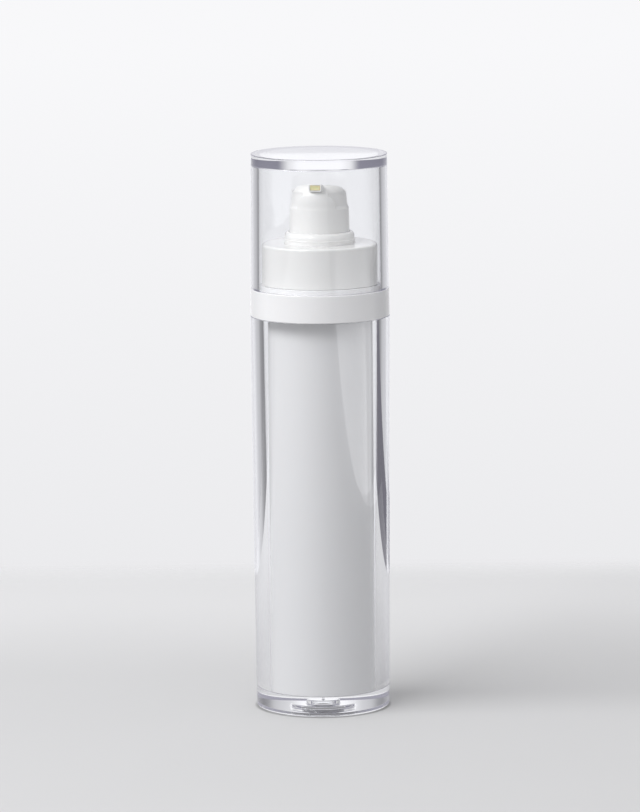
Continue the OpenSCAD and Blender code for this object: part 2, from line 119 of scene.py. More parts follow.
# Parts of the sky as sines, from and to
SIDE_CARD_FROM = (0.25, 0.45)
SIDE_CARD_TOP = (0.6, 0.5)
FILL_LEVEL = (-0.02, 0.0)
HORIZON_SIDES = (0.3, 0.45)

# Bearings of the low card in degrees, from and to
LOW_CARD_FROM = (69, 73)
LOW_CARD_TO = (155, 150)

# Light of the walls that reflections find, by bearing in degrees
WALLS = (
    (-180, 0.35), (-150, 0.45), (-105, 0.62), (-90, 0.7), (-66, 0.4), (-52, 0.22), (-43, 0.32),
    (-35, 0.58), (-25, 0.7), (-12, 1.05), (12, 1.05), (20, 0.75), (29, 0.68), (36, 0.58),
    (44, 0.28), (55, 0.15), (75, 0.25), (100, 0.5), (150, 0.5), (155, 0.4), (180, 0.35),
)


def length(name, description, default, low=0.0):
    """A length in metres with its name in the panel."""
    return bpy.props.FloatProperty(
        name=name, description=description, default=default, min=low,
        precision=5, subtype="DISTANCE", unit="LENGTH",
    )


def share(name, description, default, high=1.0):
    """A plain number from nought up."""
    return bpy.props.FloatProperty(
        name=name, description=description, default=default, min=0.0, max=high, precision=3
    )


def angle(name, description, default):
    """An angle in radians, shown in degrees."""
    return bpy.props.FloatProperty(
        name=name, description=description, default=default, subtype="ANGLE", unit="ROTATION"
    )


def colour(name, description, default):
    """A colour without alpha."""
    return bpy.props.FloatVectorProperty(
        name=name, description=description, default=default, size=3, min=0.0, max=1.0, subtype="COLOR"
    )


class BottleSizes(bpy.types.PropertyGroup):
    """Sizes of the walls, edges and head, on top of what the frame gives."""

    draft: length("Bottle draft", "Radius lost from the shoulder to the foot", 0.7 * MM)
    wall_top: length("Wall at shoulder", "Clear wall under the shoulder ring", 3.35 * MM)
    wall_foot: length("Wall at foot", "Clear wall at the foot", 3.75 * MM)
    floor: length("Floor", "Clear floor under the inner bottle", INNER_Z - 0.8 * MM)
    foot_round: length("Foot rounding", "Rounding of the foot's outer edge", 0.9 * MM)
    foot_ring: length("Foot ring", "Width of the flat ring that the bottle stands on", 4.3 * MM)
    foot_hollow: length("Foot hollow", "Depth of the hollow inside the foot ring", 0.4 * MM)
    recess: length("Recess radius", "Radius of the sunk ring under the floor", 5.85 * MM)
    recess_depth: length("Recess depth", "Depth of the sunk ring below the hollow", 0.9 * MM)
    well: length("Well radius", "Radius of the deeper well in the sunk ring", 3 * MM)
    well_depth: length("Well depth", "Depth of the well below the sunk ring", 1.2 * MM)
    vent: length("Vent radius", "Radius of the air hole through the floor", 0.15 * MM)
    lip: length("Lip", "Thickness of the lip inside the shoulder ring", 1.5 * MM)
    inner_r: length("Inner bottle radius", "Outside radius of the inner bottle", 13.9 * MM)
    inner_wall: length("Inner wall", "Wall of the inner bottle", 1 * MM)
    flange: length("Flange", "Thickness of the flange on the clear lip", 1.2 * MM)
    ring_top: length("Ring top", "Height of the shoulder ring's upper face", RING_Z + 7.2 * MM)
    ring_draft: length("Ring draft", "Radius that the shoulder ring loses upwards", 0.14 * MM)
    spigot: length("Spigot radius", "Radius of the spigot inside the overcap", 16.05 * MM)
    cap_wall: length("Cap wall", "Wall of the overcap at its rim", 2.1 * MM)
    cap_plate: length("Cap plate", "Thickness of the overcap's top plate", 2.95 * MM)
    cap_dome: length("Cap dome", "How far the underside of the top plate rises to its middle", 0.04 * MM)
    plate_draft: length("Plate draft", "Radius that the edge of the top plate loses upwards", 0.06 * MM)
    cap_draft: length("Cap draft", "Radius that the overcap loses upwards", 0.25 * MM)
    cap_bore_draft: length("Cap bore draft", "Radius that its bore loses upwards", 0.24 * MM)
    cap_round: length("Cap rounding", "Rounding of the overcap's top edge", 0.2 * MM)
    closure_wall: length("Closure wall", "Wall of the closure's skirt", 1 * MM)
    closure_plate: length("Closure plate", "Thickness of the closure's top plate", 1.6 * MM)
    closure_round: length("Closure rounding", "Rounding of the closure's top edge", 0.6 * MM)
    collar_r: length("Collar radius", "Outside radius of the guide collar", 9.3 * MM)
    guide_r: length("Guide radius", "Bore of the guide collar", HEAD_R + 0.12 * MM)
    collar_drop: length("Collar shoulder", "Height of the collar's rounded shoulder", 1.5 * MM)
    ledge_z: length("Ledge height", "Height of the ledge round the head", COLLAR_TOP + 6.7 * MM)
    ledge_w: length("Ledge width", "Width of the sloping ledge", 0.4 * MM)
    head_draft: length("Head draft", "Radius that the head loses to its top", 0.35 * MM)
    head_round: length("Head rounding", "Rounding of the head's top edge", 2.5 * MM)
    head_rise: length("Head rise", "How far the pad is raised over the plain solid", 0.35 * MM)
    pad_slope: angle("Pad slope", "Slope of the finger pad down to the back", radians(10.5))
    pad_dish: length("Pad dish", "Depth of the dish in the finger pad", 0.25 * MM)
    spout_w: length("Spout width", "Width of the spout where it flares into the ledge", 10 * MM)
    spout_neck: length("Spout neck", "Width of the spout under the nozzle", 6.4 * MM)
    spout_flare: length("Spout flare", "Height of the flare above the ledge", 3.2 * MM)
    spout_h: length("Spout height", "Height of the spout above the ledge", 4.5 * MM)
    nozzle_w: length("Nozzle width", "Width of the nozzle's rim", 3.4 * MM)
    nozzle_h: length("Nozzle height", "Height of the nozzle's rim", 2.0 * MM)
    nozzle_out: length("Nozzle reach", "How far the rim stands out from the skirt's radius", 0.3 * MM)
    pocket_low: length("Pocket floor", "From the nozzle's middle down to the insert's foot", 0.66 * MM)
    pocket_high: length("Pocket roof", "From the nozzle's middle up to the insert's top", 0.72 * MM)
    spring_wire: length("Spring wire", "Thickness of the return spring's wire", 0.8 * MM)
    spring_turns: share("Spring turns", "Turns of the return spring", 5.5, 6.0)
    press: length("Press", "How far the head goes down", 5.0 * MM)


class BottleLook(bpy.types.PropertyGroup):
    """Colours and finishes of the materials."""

    clear: colour("Clear acrylic", "Tint of the clear bottle and overcap", (0.985, 0.99, 1.0))
    clear_ior: share("Acrylic IOR", "Refraction of the clear plastic", 1.49, 2.0)
    wall_passes: share("Wall passes", "Soft light let through each face of the bottle's wall", 0.93)
    cap_passes: share("Cap passes", "Soft light let through each face of the overcap", 0.975)
    # Painted light: the fixed glow that a ray caught inside the clear plastic sees.
    piped: colour("Piped light", "What a ray caught inside the clear plastic sees", (0.34, 0.335, 0.4))
    piped_after: share("Piped after", "Reflections before a ray counts as caught", 2.5, 32.0)
    white: colour("Bottle white", "Colour of the inner bottle and the shoulder ring", (0.864, 0.864, 0.876))
    pump_white: colour("Pump white", "Colour of the pump's white mouldings", (0.872, 0.87, 0.862))
    white_rough: share("White roughness", "Roughness of the white mouldings", 0.12)
    head_rough: share("Head roughness", "Roughness of the push head", 0.34)
    natural: colour("Natural PP", "Colour of the pump's hidden mouldings", (0.78, 0.8, 0.8))
    soft: colour("White PE", "Colour of the follower and the piston seal", (0.84, 0.85, 0.84))
    foam: colour("Gasket foam", "Colour of the neck gasket", (0.6, 0.62, 0.64))
    insert: colour("Nozzle insert", "Pale yellow of the nozzle insert", (0.86, 0.79, 0.45))
    steel: colour("Steel", "Colour of the spring and the ball", (0.62, 0.63, 0.65))


class StudioSettings(bpy.types.PropertyGroup):
    """The camera, the table and the light."""

    lens: bpy.props.FloatProperty(
        name="Lens", description="Focal length of the camera", default=230.5, min=1.0, unit="CAMERA"
    )
    turn: angle("Camera turn", "Turn of the camera from the nozzle towards +X", radians(7.6))
    pitch: angle("Camera pitch", "How far the camera looks down", radians(8.9))
    roll: angle("Camera roll", "Roll of the camera about its own axis", radians(-0.47))
    distance: length("Camera distance", "From the aim point to the camera", 1.382)
    aim: length("Aim height", "Height of the point that the camera aims at", 80.8 * MM)
    aside: length("Aim aside", "How far the aim point lies to the left of the bottle's axis", 0.24 * MM)
    table_back: length("Table back", "From the bottle to the table's back edge", 205 * MM)
    mirror_back: length("Mirrored back", "From the bottle to the back edge that reflections find", 180 * MM)
    floor_back: length("Floor back", "From the bottle to the end of the floor behind it", 800 * MM)
    # The dark floor in these is painted shade: a dark emission for the shaded gap behind the table.
    dark_back: length("Dark back", "From the bottle straight back to the end of the dark floor", 287 * MM)
    dark_skew: share("Dark skew", "How much farther back the dark floor ends per metre to the right", 0.3)
    gap_from: angle("Gap from", "Bearing from which the floor behind the table is dark", radians(14))
    table_right: length("Table right", "From the bottle to the table's right edge", 312 * MM)
    floor_right: length("Floor right", "From the bottle to the end of the dark floor", 1000 * MM)
    table_left: length("Table left", "From the bottle to the table's left edge", 900 * MM)
    table_front: length("Table front", "From the bottle to the table's front edge", 1500 * MM)
    table: colour("Table", "Colour of the table", (0.79, 0.79, 0.798))
    table_bounce: share("Table bounce", "Share of the table's colour that lights the bottle", 0.6)
    foot_glow: share("Foot glow", "Light on the table under the clear foot, as seen through it", 0.2)
    contact_shade: share("Contact shade", "How much darker the table is right under the foot", 0.5)
    table_shade: share("Table shade", "How much darker the table is by the bottle than at its back", 0.16)
    backdrop: colour("Backdrop", "Backdrop behind the table's edge", (0.825, 0.825, 0.842))
    backdrop_top: colour("Upper backdrop", "Backdrop at the top of the picture", (0.938, 0.938, 0.954))
    fill_under: colour("Under fill", "Soft light from beyond the table's edges", (0.5, 0.5, 0.505))
    fill_low: colour("Low fill", "Soft light from the walls of the room", (0.40, 0.40, 0.405))
    fill_high: colour("High fill", "Soft light from overhead", (0.62, 0.62, 0.626))
    fill_side: colour("Side fill", "Soft light from the card on the right", (0.82, 0.82, 0.83))
    key_power: share("Key power", "Power of the soft lamp at the upper left, in watts", 18.5, 200.0)
    key_turn: angle("Key turn", "Bearing of the lamp from the camera", radians(-58))
    key_rise: angle("Key rise", "Height of the lamp as an angle", radians(38))
    key_reach: length("Key reach", "From the bottle to the lamp", 1.5)
    key_aim: length("Key aim", "Height that the lamp points at", 0.1)
    key_width: length("Key width", "Width of the lamp", 1.5)
    key_height: length("Key height", "Height of the lamp's face", 0.57)


def settings():
    """The three groups of properties."""
    scene = bpy.context.scene
    return scene.bottle_sizes, scene.bottle_look, scene.bottle_studio


def bare_selection():
    """Leaves edit mode and selects nothing."""
    if bpy.context.object and bpy.context.object.mode != "OBJECT":
        bpy.ops.object.mode_set(mode="OBJECT")
    bpy.ops.object.select_all(action="DESELECT")


def select_where(obj, test, kind="VERT"):
    """Selects the vertices or faces that pass a test on their place."""
    mesh = bmesh.from_edit_mesh(obj.data)
    bpy.ops.mesh.select_mode(type=kind)
    bpy.ops.mesh.select_all(action="DESELECT")
    parts = mesh.verts if kind == "VERT" else mesh.faces
    for part in parts:
        place = part.co if kind == "VERT" else part.calc_center_median()
        part.select_set(bool(test(place)))
    mesh.select_flush_mode()
    bmesh.update_edit_mesh(obj.data)


def arc(centre, across, up, start, end, steps=8):
    """Points of radius and height along an arc, with angles in degrees."""
    points = []
    for i in range(steps + 1):
        a = radians(start + (end - start) * i / steps)
        points.append((centre[0] + across * cos(a), centre[1] + up * sin(a)))
    return points


def eased(points, radius, steps=3):
    """The closed outline with each square corner eased by a small radius."""
    out = []
    count = len(points)
    for i, here in enumerate(points):
        before, after = Vector(points[i - 1]), Vector(points[(i + 1) % count])
        here = Vector(here)
        a, b = before - here, after - here
        on_axis = here.x < 1e-6
        sharp = a.length > 0 and b.length > 0 and abs(a.angle(b) - pi) > radians(35)
        if on_axis or not sharp:
            out.append(tuple(here))
            continue
        cut = min(radius, a.length * 0.4, b.length * 0.4)
        start, end = here + a.normalized() * cut, here + b.normalized() * cut
        for k in range(steps + 1):
            t = k / steps
            out.append(tuple(start * (1 - t) ** 2 + here * 2 * t * (1 - t) + end * t ** 2))
    return out


def held(points, reach=0.12 * MM):
    """The closed outline with a point close to both ends of each long side, so its shading stays true."""
    out = []
    for i, here in enumerate(points):
        here, there = Vector(here), Vector(points[(i + 1) % len(points)])
        out.append(tuple(here))
        side = there - here
        if side.length > 6 * reach:
            step = side.normalized() * reach
            out += [tuple(here + step), tuple(there - step)]
    return out


def bead(radius, foot, out):
    """A snap bead on a wall, from its foot upwards."""
    return [
        (radius, foot), (radius + out, foot + 0.3 * MM), (radius + out, foot + 0.8 * MM),
        (radius, foot + 1.1 * MM),
    ]


def opened():
    """Enters edit mode with the whole piece selected."""
    bpy.ops.object.mode_set(mode="EDIT")
    bpy.ops.mesh.select_all(action="SELECT")


def closed(edge=None):
    """Turns the faces outwards, leaves edit mode, and smooths the shading up to an angle in degrees."""
    bpy.ops.mesh.select_all(action="SELECT")
    bpy.ops.mesh.normals_make_consistent(inside=False)
    bpy.ops.object.mode_set(mode="OBJECT")
    if edge:
        bpy.ops.object.shade_smooth_by_angle(angle=radians(edge))


def drawn(name, outline):
    """Draws a closed outline of X and Z point by point, and stays in edit mode."""
    bare_selection()
    first = Vector((outline[0][0], 0.0, outline[0][1]))
    bpy.ops.mesh.primitive_plane_add(size=MM, location=(0, 0, 0))
    obj = bpy.context.object
    obj.name = obj.data.name = name
    bpy.ops.object.mode_set(mode="EDIT")
    bpy.ops.mesh.select_mode(type="VERT")
    bpy.ops.mesh.select_all(action="SELECT")
    bpy.ops.mesh.merge(type="CENTER")
    bpy.ops.transform.translate(value=first)
    here = first
    for x, z in list(outline[1:]) + [outline[0]]:
        there = Vector((x, 0.0, z))
        bpy.ops.mesh.extrude_vertices_move(TRANSFORM_OT_translate={"value": there - here})
        here = there
    bpy.ops.mesh.select_all(action="SELECT")
    bpy.ops.mesh.remove_doubles(threshold=1e-7)
    bpy.ops.mesh.select_all(action="SELECT")
    return obj


def lathe(name, outline, steps=144, edge=35.0):
    """Spins an outline of radius and height about the bottle's axis."""
    obj = drawn(name, held(outline))
    bpy.ops.mesh.spin(steps=steps, angle=2 * pi, center=(0, 0, 0), axis=(0, 0, 1))
    bpy.ops.mesh.select_all(action="SELECT")
    bpy.ops.mesh.remove_doubles(threshold=1e-6)
    closed(edge)
    return obj


def prism(name, outline, front, back):
    """A solid with an outline of X and Z, from one place along Y to another."""
    obj = drawn(name, outline)
    bpy.ops.transform.translate(value=(0, front, 0))
    bpy.ops.mesh.edge_face_add()
    bpy.ops.mesh.extrude_region_move(TRANSFORM_OT_translate={"value": (0, back - front, 0)})
    closed()
    return obj


def block(name, low, high, edge):
    """A box between two corners, with its edges rounded."""
    bare_selection()
    low, high = Vector(low), Vector(high)
    bpy.ops.mesh.primitive_cube_add(size=1.0)
    obj = bpy.context.object
    obj.name = obj.data.name = name
    opened()
    bpy.ops.transform.resize(value=high - low)
    bpy.ops.transform.translate(value=(low + high) / 2)
    bpy.ops.mesh.bevel(offset=edge, segments=3, affect="EDGES")
    bpy.ops.object.mode_set(mode="OBJECT")
    return obj


def alone(obj):
    """Makes a piece the only selected one."""
    bare_selection()
    obj.select_set(True)
    bpy.context.view_layer.objects.active = obj


def changed(obj, kind, **values):
    """Applies one modifier to a piece."""
    alone(obj)
    modifier = obj.modifiers.new(kind.lower(), kind)
    for name, value in values.items():
        setattr(modifier, name, value)
    bpy.ops.object.modifier_apply(modifier=modifier.name)


def combined(obj, operation, other):
    """Joins, cuts or overlaps a piece with another solid, which is used up."""
    changed(obj, "BOOLEAN", operation=operation, solver="EXACT", object=other)
    bpy.data.objects.remove(other)


def finished(obj, material, body, slot, *nodes):
    """Gives a piece its material and body, and hides the CAD nodes that it stands for. Its slot is not
    used.
    """
    obj.data.materials.clear()
    obj.data.materials.append(material)
    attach(obj, body)
    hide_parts(*nodes)
    return obj


def node_material(name):
    """An empty node material with its output and one Principled shader."""
    material = bpy.data.materials.get(name) or bpy.data.materials.new(name)
    material.use_nodes = True
    tree = material.node_tree
    tree.nodes.clear()
    output = tree.nodes.new("ShaderNodeOutputMaterial")
    shader = tree.nodes.new("ShaderNodeBsdfPrincipled")
    tree.links.new(shader.outputs[0], output.inputs["Surface"])
    return material, tree, shader, output


def object_noise(tree, scale, detail=2.0, stretch=(1, 1, 1)):
    """Noise on the piece's own Object coordinates."""
    place = tree.nodes.new("ShaderNodeTexCoord")
    mapping = tree.nodes.new("ShaderNodeMapping")
    mapping.inputs["Scale"].default_value = stretch
    noise = tree.nodes.new("ShaderNodeTexNoise")
    noise.inputs["Scale"].default_value = scale
    noise.inputs["Detail"].default_value = detail
    tree.links.new(place.outputs["Object"], mapping.inputs["Vector"])
    tree.links.new(mapping.outputs["Vector"], noise.inputs["Vector"])
    return noise


def node_of(tree, kind, **values):
    """A new node with values on its sockets."""
    node = tree.nodes.new(kind)
    for name, value in values.items():
        node.inputs[name].default_value = value
    return node


def plugged(tree, value, socket):
    """Links an output to a socket, or writes a plain value on it."""
    if isinstance(value, bpy.types.NodeSocket):
        tree.links.new(value, socket)
    else:
        socket.default_value = value


def arithmetic(tree, operation, first, second=0.0):
    """One step of arithmetic."""
    node = tree.nodes.new("ShaderNodeMath")
    node.operation = operation
    plugged(tree, first, node.inputs[0])
    plugged(tree, second, node.inputs[1])
    return node.outputs[0]


def product(tree, first, second):
    """Two values multiplied."""
    return arithmetic(tree, "MULTIPLY", first, second)


def scaled(tree, tone, factor):
    """A colour made darker by a factor."""
    node = tree.nodes.new("ShaderNodeVectorMath")
    node.operation = "SCALE"
    plugged(tree, tone, node.inputs[0])
    plugged(tree, factor, node.inputs["Scale"])
    return node.outputs[0]


def stepped(tree, value, start, end, kind="SMOOTHSTEP"):
    """From nought to one as the value runs from start to end."""
    node = tree.nodes.new("ShaderNodeMapRange")
    node.interpolation_type = kind
    node.inputs["From Min"].default_value = start
    node.inputs["From Max"].default_value = end
    tree.links.new(value, node.inputs["Value"])
    return node.outputs["Result"]


def risen(tree, height, span, kind="SMOOTHSTEP"):
    """From nought to one as a direction's height runs over a span in degrees."""
    return stepped(tree, height, sin(radians(span[0])), sin(radians(span[1])), kind)


def blended(tree, factor, first, second):
    """A colour or grey between two, by a factor."""
    node = tree.nodes.new("ShaderNodeMix")
    node.data_type = "RGBA"
    tree.links.new(factor, node.inputs["Factor"])
    plugged(tree, first, node.inputs[6])
    plugged(tree, second, node.inputs[7])
    return node.outputs[2]


def mixed(tree, factor, first, second):
    """Two shaders, by a factor."""
    node = tree.nodes.new("ShaderNodeMixShader")
    tree.links.new(factor, node.inputs[0])
    tree.links.new(first.outputs[0], node.inputs[1])
    tree.links.new(second.outputs[0], node.inputs[2])
    return node


def reflected(tree):
    """One for a ray that a surface has mirrored on its way, nought for one that came straight through."""
    path = tree.nodes.new("ShaderNodeLightPath")
    return arithmetic(tree, "MINIMUM", path.outputs["Glossy Depth"], 1.0)


def ramp_between(tree, factor, low, high):
    """A colour or grey that runs from low to high as the factor goes from 0.3 to 0.7."""
    ramp = tree.nodes.new("ShaderNodeValToRGB")
    ramp.color_ramp.elements[0].position = 0.3
    ramp.color_ramp.elements[1].position = 0.7
    ramp.color_ramp.elements[0].color = (*low, 1.0)
    ramp.color_ramp.elements[1].color = (*high, 1.0)
    tree.links.new(factor, ramp.inputs["Fac"])
    return ramp.outputs["Color"]


def bump_from(tree, height, shader, distance, strength):
    """A fine bump on the shader's normal."""
    bump = tree.nodes.new("ShaderNodeBump")
    bump.inputs["Distance"].default_value = distance
    bump.inputs["Strength"].default_value = strength
    tree.links.new(height, bump.inputs["Height"])
    tree.links.new(bump.outputs["Normal"], shader.inputs["Normal"])


def clear_acrylic(name, passed):
    """Clear moulded acrylic. Soft light passes straight through it, so what it holds is lit."""
    look = settings()[1]
    material, tree, shader, output = node_material(name)
    shader.inputs["Transmission Weight"].default_value = 1.0
    shader.inputs["IOR"].default_value = look.clear_ior
    shader.inputs["Roughness"].default_value = 0.0
    cloud = object_noise(tree, scale=60.0, detail=0.0, stretch=(1, 1, 0.35))
    tint = tuple(c - 0.006 for c in look.clear)
    tone = ramp_between(tree, cloud.outputs["Fac"], tint, look.clear)
    tree.links.new(tone, shader.inputs["Base Color"])
    path = tree.nodes.new("ShaderNodeLightPath")
    soft = arithmetic(tree, "MAXIMUM", path.outputs["Is Shadow Ray"], path.outputs["Is Diffuse Ray"])
    through = node_of(tree, "ShaderNodeBsdfTransparent", Color=(passed, passed, passed, 1.0))
    # Painted light: a ray caught inside the clear plastic after several mirrorings sees a fixed glow in
    # place of the room.
    piped = node_of(tree, "ShaderNodeEmission", Color=(*look.piped, 1.0), Strength=1.0)
    caught = arithmetic(tree, "GREATER_THAN", path.outputs["Glossy Depth"], look.piped_after)
    clear = mixed(tree, caught, shader, piped)
    tree.links.new(mixed(tree, soft, clear, through).outputs[0], output.inputs["Surface"])
    return material


def moulded(name, tone, rough, spread, grain=220.0, depth=0.004 * MM):
    """Moulded plastic: a faintly uneven tone and gloss over a very fine surface."""
    material, tree, shader, _ = node_material(name)
    cloud = object_noise(tree, CLOUDS, detail=3.0)
    darker = tuple(c * (1 - spread) for c in tone)
    tree.links.new(ramp_between(tree, cloud.outputs["Fac"], darker, tone), shader.inputs["Base Color"])
    low, high = (max(0.02, rough - GLOSS_SWING),) * 3, (rough + GLOSS_SWING,) * 3
    tree.links.new(ramp_between(tree, cloud.outputs["Fac"], low, high), shader.inputs["Roughness"])
    fine = object_noise(tree, grain * 12)
    bump_from(tree, fine.outputs["Fac"], shader, depth, strength=0.4)
    return material, tree, shader


def waxy(name, tone, rough, spread, weight, depth):
    """Moulded plastic with some light under its skin."""
    material, _, shader = moulded(name, tuple(tone), rough, spread)
    shader.inputs["Subsurface Weight"].default_value = weight
    shader.inputs["Subsurface Scale"].default_value = depth
    return material, shader


def white_pp(name="pump_white_pp"):
    """White polypropylene: two whites, and a softer gloss on the head."""
    look = settings()[1]
    tone = look.white if name == "bottle_white_pp" else look.pump_white
    rough = look.head_rough if name == "head_white_pp" else look.white_rough
    material, shader = waxy(name, tone, rough, spread=0.012, weight=0.12, depth=0.6 * MM)
    shader.inputs["Subsurface Radius"].default_value = (1.0, 0.95, 0.9)
    shader.inputs["IOR"].default_value = 1.49
    return material


def natural_pp():
    """Unpigmented polypropylene of the pump's hidden parts."""
    tone = settings()[1].natural
    return waxy("natural_pp", tone, rough=0.4, spread=0.05, weight=0.3, depth=1 * MM)[0]


def white_pe():
    """Waxy white polyethylene of the follower and the piston seal."""
    tone = settings()[1].soft
    return waxy("white_pe", tone, rough=0.45, spread=0.04, weight=0.25, depth=0.8 * MM)[0]


def foam_gasket():
    """Matt foam with closed cells."""
    tone = tuple(settings()[1].foam)
    return moulded("foam_gasket", tone, rough=0.85, spread=0.15, grain=400.0, depth=0.02 * MM)[0]


def yellow_elastomer():
    """Soft pale yellow elastomer of the nozzle insert."""
    tone = settings()[1].insert
    return waxy("yellow_elastomer", tone, rough=0.42, spread=0.06, weight=0.2, depth=0.4 * MM)[0]


def drawn_steel(name, rough):
    """Bright steel with a very fine surface."""
    tone = tuple(settings()[1].steel)
    material, _, shader = moulded(name, tone, rough, spread=0.1, grain=300.0, depth=0.003 * MM)
    shader.inputs["Metallic"].default_value = 1.0
    return material


class BOTTLE_OT_clear_bottle(bpy.types.Operator):
    """Model the clear outer bottle with its thick wall, floor and stepped underside"""

    bl_idname = "bottle.clear_bottle"
    bl_label = "Clear bottle"

    def execute(self, context):
        size = settings()[0]
        foot_r = BOTTLE_R - size.draft
        cavity_top = BOTTLE_R - size.wall_top
        cavity_foot = foot_r - size.wall_foot
        rnd = size.foot_round
        ring_in = foot_r - rnd - size.foot_ring
        recess_z = size.foot_hollow + size.recess_depth
        well_z = recess_z + size.well_depth
        lip_r = cavity_top + size.lip
        inside = eased([
            (size.vent, size.floor), (size.vent, well_z), (size.well, well_z), (size.well, recess_z),
            (size.recess, recess_z), (size.recess, size.foot_hollow), (ring_in, size.foot_hollow),
            (ring_in + 0.3 * MM, 0.0), (foot_r - rnd, 0.0),
        ], 0.25 * MM)[4:-4]
        outline = (
            [(size.vent, size.floor)] + inside
            + arc((foot_r - rnd, rnd), rnd, rnd, -90, 0, 12)
            + eased([
                (foot_r, rnd), (BOTTLE_R, RING_Z), (lip_r, RING_Z), (lip_r, LIP_TOP),
                (cavity_top, LIP_TOP), (cavity_top, RING_Z), (cavity_foot, size.floor),
                (size.vent, size.floor),
            ], 0.12 * MM)[4:-4]
        )
        obj = lathe("clear_outer_bottle", outline, steps=180)
        acrylic = clear_acrylic("clear_bottle_acrylic", settings()[1].wall_passes)
        finished(obj, acrylic, "bottle", "clear_acrylic", "outer_bottle")
        return {"FINISHED"}


class BOTTLE_OT_overcap(bpy.types.Operator):
    """Model the clear overcap with its thick top plate"""

    bl_idname = "bottle.overcap"
    bl_label = "Overcap"

    def execute(self, context):
        size = settings()[0]
        plate_r = CAP_R - size.cap_draft
        top_r = plate_r - size.plate_draft
        bore = CAP_R - size.cap_wall
        bore_top = bore - size.cap_bore_draft
        ceiling = CAP_TOP - size.cap_plate
        rnd = size.cap_round
        inner_rnd = 0.3 * MM
        rings = 24
        outline = (
            [
                (bore + HAIR, CAP_Z), (CAP_R - HAIR, CAP_Z), (CAP_R, CAP_Z + HAIR), (plate_r, ceiling),
            ]
            + arc((top_r - rnd, CAP_TOP - rnd), rnd, rnd, 0, 90, 6)
            + [(0.0, CAP_TOP)]
            + [
                (bore_top * k / rings, ceiling + size.cap_dome * (1 - (k / (rings - 1)) ** 2))
                for k in range(rings - 1)
            ]
            + arc((bore_top - inner_rnd, ceiling - inner_rnd), inner_rnd, inner_rnd, 90, 0, 5)
            + [(bore, CAP_Z + HAIR)]
        )
        obj = lathe("clear_overcap", outline, steps=180)
        acrylic = clear_acrylic("clear_cap_acrylic", settings()[1].cap_passes)
        finished(obj, acrylic, "cap", "clear_acrylic", "overcap")
        return {"FINISHED"}


class BOTTLE_OT_inner_bottle(bpy.types.Operator):
    """Model the white inner bottle with its flange and snap bead"""

    bl_idname = "bottle.inner_bottle"
    bl_label = "Inner bottle"

    def execute(self, context):
        size = settings()[0]
        outer, bore = size.inner_r, size.inner_r - size.inner_wall
        foot = size.floor + HAIR
        outline = eased([
            (bore, foot), (outer, foot), (outer, LIP_TOP), (INNER_FLANGE_R, LIP_TOP),
            (INNER_FLANGE_R, LIP_TOP + size.flange), (outer, LIP_TOP + size.flange),
            *bead(outer, CLOSURE_Z + 4.4 * MM, BEAD_OUT), (outer, NECK_TOP), (bore, NECK_TOP),
        ], 0.15 * MM)
        obj = lathe("white_inner_bottle", outline)
        finished(obj, white_pp("bottle_white_pp"), "bottle", "white_pp", "inner_bottle")
        return {"FINISHED"}


class BOTTLE_OT_shoulder_ring(bpy.types.Operator):
    """Model the white shoulder ring with its eased edges and spigot"""

    bl_idname = "bottle.shoulder_ring"
    bl_label = "Shoulder ring"

    def execute(self, context):
        size = settings()[0]
        groove = BOTTLE_R - size.wall_top + size.lip + FIT
        shelf = size.inner_r + 0.4 * MM
        outline = eased([
            (groove, RING_Z), (RING_R, RING_Z), (RING_R - size.ring_draft, size.ring_top),
            (size.spigot, size.ring_top), (size.spigot, SPIGOT_TOP), (shelf, SPIGOT_TOP),
            (shelf, LIP_TOP + size.flange), (groove, LIP_TOP + size.flange),
        ], 0.16 * MM)
        obj = lathe("white_shoulder_ring", outline)
        finished(obj, white_pp("bottle_white_pp"), "bottle", "white_pp", "shoulder_ring")
        return {"FINISHED"}


class BOTTLE_OT_closure(bpy.types.Operator):
    """Model the wide closure and the guide collar on it"""

    bl_idname = "bottle.closure"
    bl_label = "Closure and guide collar"

    def execute(self, context):
        size = settings()[0]
        bore = CLOSURE_R - size.closure_wall
        under = CLOSURE_TOP - size.closure_plate
        hole = size.collar_r + FIT
        hold_r, hold_z = COLLAR_FLANGE_R + FIT, COLLAR_Z + COLLAR_FLANGE + FIT
        rnd, foot_rnd, rim = size.closure_round, 0.2 * MM, 0.1 * MM
        foot = SPIGOT_TOP + 0.02 * MM
        outline = (
            [(bore, foot)]
            + arc((CLOSURE_R - foot_rnd, foot + foot_rnd), foot_rnd, foot_rnd, -90, 0, 5)
            + arc((CLOSURE_R - rnd, CLOSURE_TOP - rnd), rnd, rnd, 0, 90, 8)
            + [
                (hole + rim, CLOSURE_TOP), (hole, CLOSURE_TOP - rim), (hole, hold_z),
                (hold_r, hold_z), (hold_r, under), (bore, under),
            ]
            + bead(bore, CLOSURE_Z + 3 * MM, -BEAD_OUT)[::-1]
        )
        closure = lathe("white_closure", outline)
        finished(closure, white_pp(), "bottle", "white_pp", "closure")

        flange_top = COLLAR_Z + COLLAR_FLANGE
        line_z, line_w, line_h = CLOSURE_TOP + 1.1 * MM, 0.14 * MM, 0.15 * MM
        wide = size.collar_r - size.guide_r - 0.15 * MM
        collar_outline = (
            [
                (size.guide_r, COLLAR_Z), (COLLAR_FLANGE_R, COLLAR_Z), (COLLAR_FLANGE_R, flange_top),
                (size.collar_r, flange_top), (size.collar_r, line_z - line_h),
            ]
            + arc((size.collar_r, line_z), line_w, line_h, -60, 60, 4)
            + [(size.collar_r, line_z + line_h)]
            + arc((size.collar_r - wide, COLLAR_TOP - size.collar_drop), wide, size.collar_drop, 0, 90, 12)
            + arc((size.guide_r + rim, COLLAR_TOP - rim), rim, rim, 90, 180, 3)
        )
        collar = lathe("white_guide_collar", collar_outline)
        finished(collar, white_pp(), "bottle", "white_pp", "guide_collar")
        return {"FINISHED"}


